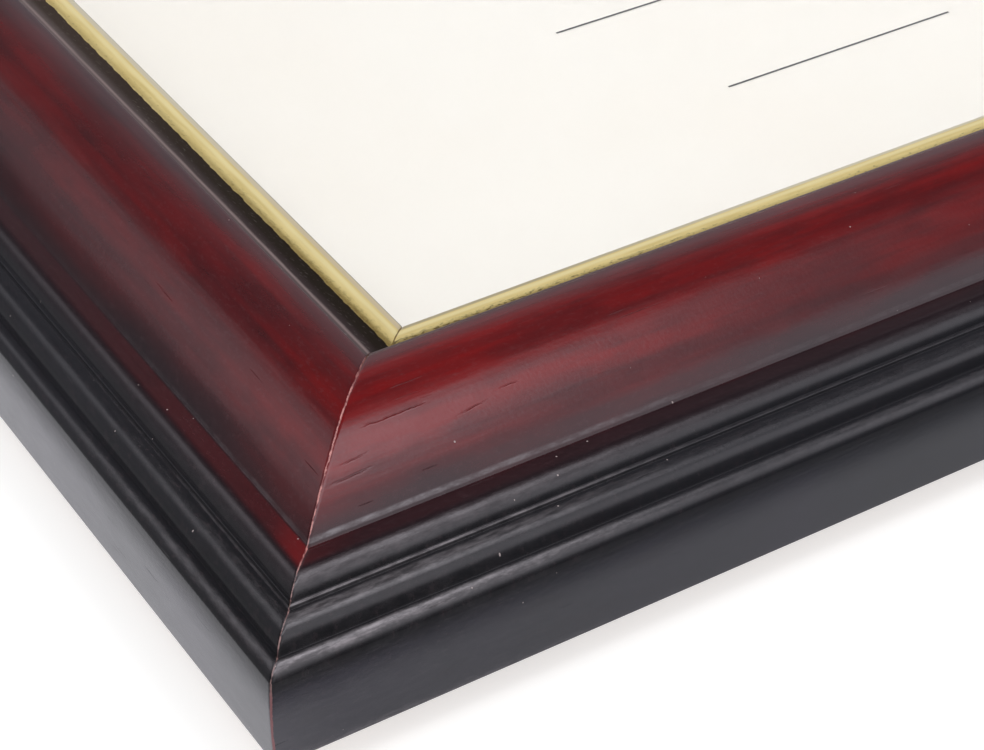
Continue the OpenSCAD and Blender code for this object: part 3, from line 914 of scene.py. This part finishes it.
# Plain ruled signature lines, two on each side: distance of the outer end from the sight edge, and
# height over the lower sight edge
RULES = [(66.0, 62.0), (80.0, 35.0)]
RULE_LENGTH = 44.0
RULE_WIDTH = 0.4
RULE_LIFT = 0.009
RULE_PARTS = 24


def rule_lines():
    verts, faces = [], []
    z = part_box("certificate")[1].z / MM - PAPER_AIR + RULE_LIFT
    for inward, up in RULES:
        y = -HALF_SIGHT_Y + up
        for side in (-1, 1):
            x0 = side * (HALF_SIGHT_X - inward)
            x1 = x0 - side * RULE_LENGTH
            for k in range(RULE_PARTS):
                ends = [x0 + (x1 - x0) * part / RULE_PARTS for part in (k, k + 1)]
                left, right = min(ends), max(ends)
                base = len(verts)
                verts += [(left, y, z), (right, y, z)]
                verts += [(right, y + RULE_WIDTH, z), (left, y + RULE_WIDTH, z)]
                faces.append((base, base + 1, base + 2, base + 3))
    lines = mesh_object("signature_rules", verts, faces, smooth=False)
    lines.data.materials.append(ink_material())
    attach(lines, "frame")


rule_lines()


# The back: boards, nails and hardware

RUBBER_DARK = colour(34, 34, 36)
RUBBER_LIGHT = colour(48, 48, 50)
CAD_WELD = 0.001


def board_material(name, light, dark, roughness, scale):
    n = material_nodes(name)
    place = n.coordinate("Object")
    fine = n.noise(place, scale, 4.0, 0.65)
    broad = n.noise(place, scale * 0.05, 2.0)
    base = n.mix(n.ramp(fine, 0.3, 0.7), colour(*dark), colour(*light))
    base = n.mix(n.times(n.ramp(broad, 0.35, 0.7), 0.25), base, colour(*dark))
    return n.surface(Base_Color=base, Roughness=roughness, Normal=n.bump(fine, 0.06 * MM))


def metal_material(name, light, dark, roughness):
    """Plated or bright steel: fine brushed lines with cloudy patches."""
    n = material_nodes(name)
    place = n.coordinate("Object")
    clouds = n.noise(place, 180.0, 3.0, 0.6)
    brushed = n.noise(n.stretch(place, (400, 6000, 6000)), 1.0, 2.0)
    base = n.mix(n.ramp(clouds, 0.3, 0.7), colour(*dark), colour(*light))
    rough = n.math("MULTIPLY_ADD", clouds, 0.2, roughness - 0.1)
    return n.surface(Base_Color=base, Metallic=1.0, Roughness=rough, Normal=n.bump(brushed, 0.01 * MM))


def rubber_material():
    n = material_nodes("bumper_rubber")
    grain = n.noise(n.coordinate("Object"), 2500.0, 3.0, 0.6)
    base = n.mix(n.ramp(grain, 0.3, 0.7), RUBBER_DARK, RUBBER_LIGHT)
    rough = n.math("MULTIPLY_ADD", grain, 0.2, 0.55)
    return n.surface(Base_Color=base, Roughness=rough, Normal=n.bump(grain, 0.04 * MM))


# Angles in degrees: flatter seams are dissolved, and sharper edges are eased
FLAT_ANGLE = 0.5
SHARP_ANGLE = 35


def eased_copy(node, material, edge, body="frame"):
    """A copy of a CAD node with its edges eased, which stands in for the node."""
    mesh = frame["nodes"][node].data.copy()
    obj = collection_add(bpy.data.objects.new(node + "_eased", mesh))
    bm = bmesh.new()
    bm.from_mesh(mesh)
    bmesh.ops.remove_doubles(bm, verts=bm.verts, dist=CAD_WELD * MM)
    flat = math.radians(FLAT_ANGLE)
    bmesh.ops.dissolve_limit(bm, angle_limit=flat, verts=bm.verts, edges=bm.edges)
    bm.to_mesh(mesh)
    bm.free()
    mesh.shade_smooth()
    bevel = obj.modifiers.new("eased_edges", "BEVEL")
    bevel.width = edge * MM
    bevel.segments = 2
    bevel.limit_method = "ANGLE"
    bevel.angle_limit = math.radians(SHARP_ANGLE)
    bevel.harden_normals = False
    flat_normals(obj)
    mesh.materials.clear()
    mesh.materials.append(material)
    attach(obj, body)
    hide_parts(node)


rag = board_material("rag_board", (240, 236, 224), (228, 222, 208), 0.8, 900.0)
foam = board_material("foam_core", (242, 242, 240), (232, 232, 230), 0.7, 700.0)
hardboard = board_material("hardboard", (126, 92, 60), (96, 66, 42), 0.6, 1400.0)
zinc = metal_material("zinc_plate", (214, 212, 204), (170, 168, 160), 0.34)
screw_steel = metal_material("screw_steel", (224, 220, 206), (184, 180, 166), 0.28)
ring_wire = metal_material("ring_wire", (222, 220, 212), (180, 178, 170), 0.24)
steel = metal_material("bright_steel", (170, 170, 172), (120, 120, 122), 0.4)
rubber = rubber_material()

eased_copy("mount_board", rag, 0.05)
eased_copy("foam_board", foam, 0.2)
eased_copy("back_panel", hardboard, 0.25)
eased_copy("v_nails", steel, 0.1)
eased_copy("button_screws", screw_steel, 0.12)
eased_copy("hanger_screws", screw_steel, 0.12)

# Material, eased edge and slot of the hardware, by the start of the node's name
HARDWARE = {
    "turn_button": (zinc, 0.2, "zinc_plate"),
    "hanger_strap": (zinc, 0.15, "zinc_plate"),
    "d_ring": (ring_wire, 0.05, "ring_wire"),
    "bumper": (rubber, 0.1, "bumper_rubber"),
}
for body, nodes in frame["record"]["behaviour"]["bodies"].items():
    for node in nodes:
        for start, (material, edge, slot) in HARDWARE.items():
            if node.startswith(start):
                eased_copy(node, material, edge, body)


# Table, light and camera

TABLE_SIZE = 4.0
TABLE_WHITE = (0.75, 0.75, 0.75, 1)
TABLE_GLOW = 0.58

# The table's painted glow in the lacquer: brightness close to the frame at its front and left, with a
# painted contact shadow right against the frame, and further off. The places are in metres beyond the
# frame, or for the left along x
TABLE_GLOSS_FRONT, TABLE_GLOSS_LEFT = 0.9, 1.55
TABLE_GLOSS_FAR, TABLE_GLOSS_FAR_LEFT = 0.04, 0.22
TABLE_GLOSS_COLOUR = (0.99, 0.98, 1.03, 1)
GLOSS_END, GLOSS_FADE = 0.026, 0.01
CLOSE_IN, CLOSE_OUT = -0.004, 0.014
CLOSE_IN_STRENGTH, CLOSE_OUT_STRENGTH = 0.5, 0.88
LEFT_FROM, LEFT_FULL = -0.2, -0.225
SIDE_STRETCH = 1.5

AMBIENT = 0.785
GLOSS_BASE = 0.05
GLOSS_TINT = (1.0, 0.97, 1.05, 1)
WHITE = (1, 1, 1, 1)

# Soft patches that the lacquer and the hardware reflect: brightness, then edges as an axis, where the
# patch starts and where it is full. Left is -x, the front is -y, and a direction has length one
OVERHEAD_EDGES = (("x", -0.45, -0.3), ("y", 0.2, -0.08), ("y", -0.42, -0.2), ("z", 0.0, 0.3))
PATCHES = {
    "overhead": (1.9, ("x", 0.49, 0.385), *OVERHEAD_EDGES),
    "overhead_fringe": (0.6, ("x", 0.64, 0.4), *OVERHEAD_EDGES),
    "front": (1.0, ("x", -0.5, 0.3), ("y", -0.25, -0.48), ("z", 0.12, 0.5)),
    "rear_left": (
        0.95,
        ("x", -0.75, -0.36),
        ("x", -0.12, -0.34),
        ("y", 0.35, 0.6),
        ("y", 0.95, 0.62),
        ("z", 0.25, 0.62),
    ),
    "rear": (0.42, ("x", -0.5, 0.1), ("y", 0.2, 0.6), ("z", 0.70, 0.3)),
    "far_left": (0.2, ("x", -0.5, -0.62), ("y", 0.35, 0.6), ("z", -0.02, 0.05), ("z", 0.5, 0.36)),
    "below": (0.7, ("z", -0.02, -0.35)),
}

# Softboxes: direction from the photographed corner, distance, size in metres, brightness
SOFTBOXES = {
    "overhead_box": ((0.3, -0.1, 0.95), 1.5, (0.8, 0.8), 3.05),
    "rear_box": ((-0.4, 0.6, 0.7), 1.6, (0.6, 0.6), 1.0),
}
CORNER = Vector((-HALF_SIGHT_X, -HALF_SIGHT_Y, LIP_Z)) * MM


def seen_directly(n, strength):
    """Strength for rays from the camera, also those that only passed through glass."""
    not_scattered = n.math("LESS_THAN", n.light_path("Diffuse Depth"), 0.5)
    through = n.times(n.light_path("Is Transmission Ray"), not_scattered)
    seen = n.math("MAXIMUM", n.light_path("Is Camera Ray"), through)
    return n.times(seen, strength)


def table_gloss(n):
    """Painted glow of the table seen only in gloss: bright beside the frame, dimmed right against it by a
    painted contact shadow, and dark further off.
    """
    x, y, _ = n.split(n.coordinate("Object"))
    beyond_x = n.math("SUBTRACT", n.math("ABSOLUTE", x), rail_high.x)
    beyond_y = n.math("SUBTRACT", n.math("ABSOLUTE", y), -rail_low.y)
    beyond = n.math("MAXIMUM", n.times(beyond_x, SIDE_STRETCH), beyond_y)
    contact_shadow = n.ramp(beyond, CLOSE_IN, CLOSE_OUT, CLOSE_IN_STRENGTH, CLOSE_OUT_STRENGTH)
    near = n.times(n.ramp(beyond, GLOSS_END, GLOSS_FADE), contact_shadow)
    left = n.ramp(x, LEFT_FROM, LEFT_FULL)
    beside = n.math("MULTIPLY_ADD", left, TABLE_GLOSS_LEFT - TABLE_GLOSS_FRONT, TABLE_GLOSS_FRONT)
    far = n.math("MULTIPLY_ADD", left, TABLE_GLOSS_FAR_LEFT - TABLE_GLOSS_FAR, TABLE_GLOSS_FAR)
    return n.math("MULTIPLY_ADD", near, n.math("SUBTRACT", beside, far), far)


def table():
    """White table that shows white to the camera and keeps the object's shadow, with a painted glow in
    gloss.
    """
    half = TABLE_SIZE / 2
    mesh = bpy.data.meshes.new("table")
    square = [(-half, -half, 0), (half, -half, 0), (half, half, 0), (-half, half, 0)]
    mesh.from_pydata(square, [], [(0, 1, 2, 3)])
    floor = collection_add(bpy.data.objects.new("table", mesh))
    n = material_nodes("table_white")
    white = n.add("ShaderNodeBsdfDiffuse", Color=TABLE_WHITE)
    glow = n.add("ShaderNodeEmission", Strength=seen_directly(n, TABLE_GLOW))
    both = n.tree.nodes.new("ShaderNodeAddShader")
    n.put(both.inputs[0], white.outputs[0])
    n.put(both.inputs[1], glow.outputs[0])
    in_gloss = n.add("ShaderNodeEmission", Color=TABLE_GLOSS_COLOUR, Strength=table_gloss(n))
    mesh.materials.append(n.finish(n.mix_shaders(n.light_path("Is Glossy Ray"), both, in_gloss)))


def world():
    """White surroundings for the camera and through glass, and a studio of soft patches in gloss."""
    studio = bpy.data.worlds.new("studio")
    bpy.context.scene.world = studio
    n = Nodes(studio)
    axes = dict(zip("xyz", n.split(n.coordinate("Generated"))))
    gloss = GLOSS_BASE
    for brightness, *edges in PATCHES.values():
        patch = brightness
        for axis, start, full in edges:
            patch = n.times(n.ramp(axes[axis], start, full), patch)
        gloss = n.math("ADD", patch, gloss)
    not_through = n.math("SUBTRACT", 1.0, n.light_path("Is Transmission Ray"))
    glossy = n.times(n.light_path("Is Glossy Ray"), not_through)
    seen = seen_directly(n, 1.0)
    other = n.math("SUBTRACT", 1.0, n.math("MAXIMUM", seen, glossy))
    strength = n.math("MULTIPLY_ADD", glossy, gloss, seen)
    strength = n.math("MULTIPLY_ADD", other, AMBIENT, strength)
    tint = n.mix(glossy, WHITE, GLOSS_TINT)
    n.finish(n.add("ShaderNodeBackground", Color=tint, Strength=strength))


def softboxes():
    for name, (direction, distance, size, brightness) in SOFTBOXES.items():
        lamp = bpy.data.lights.new(name, "AREA")
        lamp.shape = "RECTANGLE"
        lamp.size, lamp.size_y = size
        lamp.energy = brightness * math.pi * size[0] * size[1]
        obj = collection_add(bpy.data.objects.new(name, lamp))
        away = Vector(direction).normalized()
        obj.location = CORNER + away * distance
        obj.rotation_euler = away.to_track_quat("Z", "Y").to_euler()
        obj.visible_glossy = False


# The camera, from the vanishing points of the two rails. Its angles are in degrees, its lens and sensor
# in millimetres and the distance in metres. The lip's corner is at this pixel
CORNER_PX = (402.64, 326.58)
AZIMUTH, ELEVATION, ROLL = 33.38, 37.89, 1.292
LENS = 101.42
SENSOR = 36.0
CORNER_DISTANCE = 0.3656
CLIP_START = 0.01


def camera():
    focal_px = LENS / SENSOR * WIDTH_PX
    az, el, roll = (math.radians(a) for a in (AZIMUTH, ELEVATION, ROLL))
    forward = Vector((math.sin(az) * math.cos(el), math.cos(az) * math.cos(el), -math.sin(el)))
    level = Vector((math.cos(az), -math.sin(az), 0))
    rise = level.cross(forward)
    right = level * math.cos(roll) + rise * math.sin(roll)
    up = right.cross(forward)
    ray = right * (CORNER_PX[0] - WIDTH_PX / 2) - up * (CORNER_PX[1] - HEIGHT_PX / 2) + forward * focal_px
    data = bpy.data.cameras.new("camera")
    data.lens = LENS
    data.sensor_width = SENSOR
    data.clip_start = CLIP_START
    cam = collection_add(bpy.data.objects.new("camera", data))
    turn = Matrix((right, up, -forward)).transposed()
    cam.matrix_world = Matrix.Translation(CORNER - ray.normalized() * CORNER_DISTANCE) @ turn.to_4x4()
    bpy.context.scene.camera = cam


table()
world()
softboxes()
camera()
bpy.context.scene.view_settings.view_transform = "Standard"
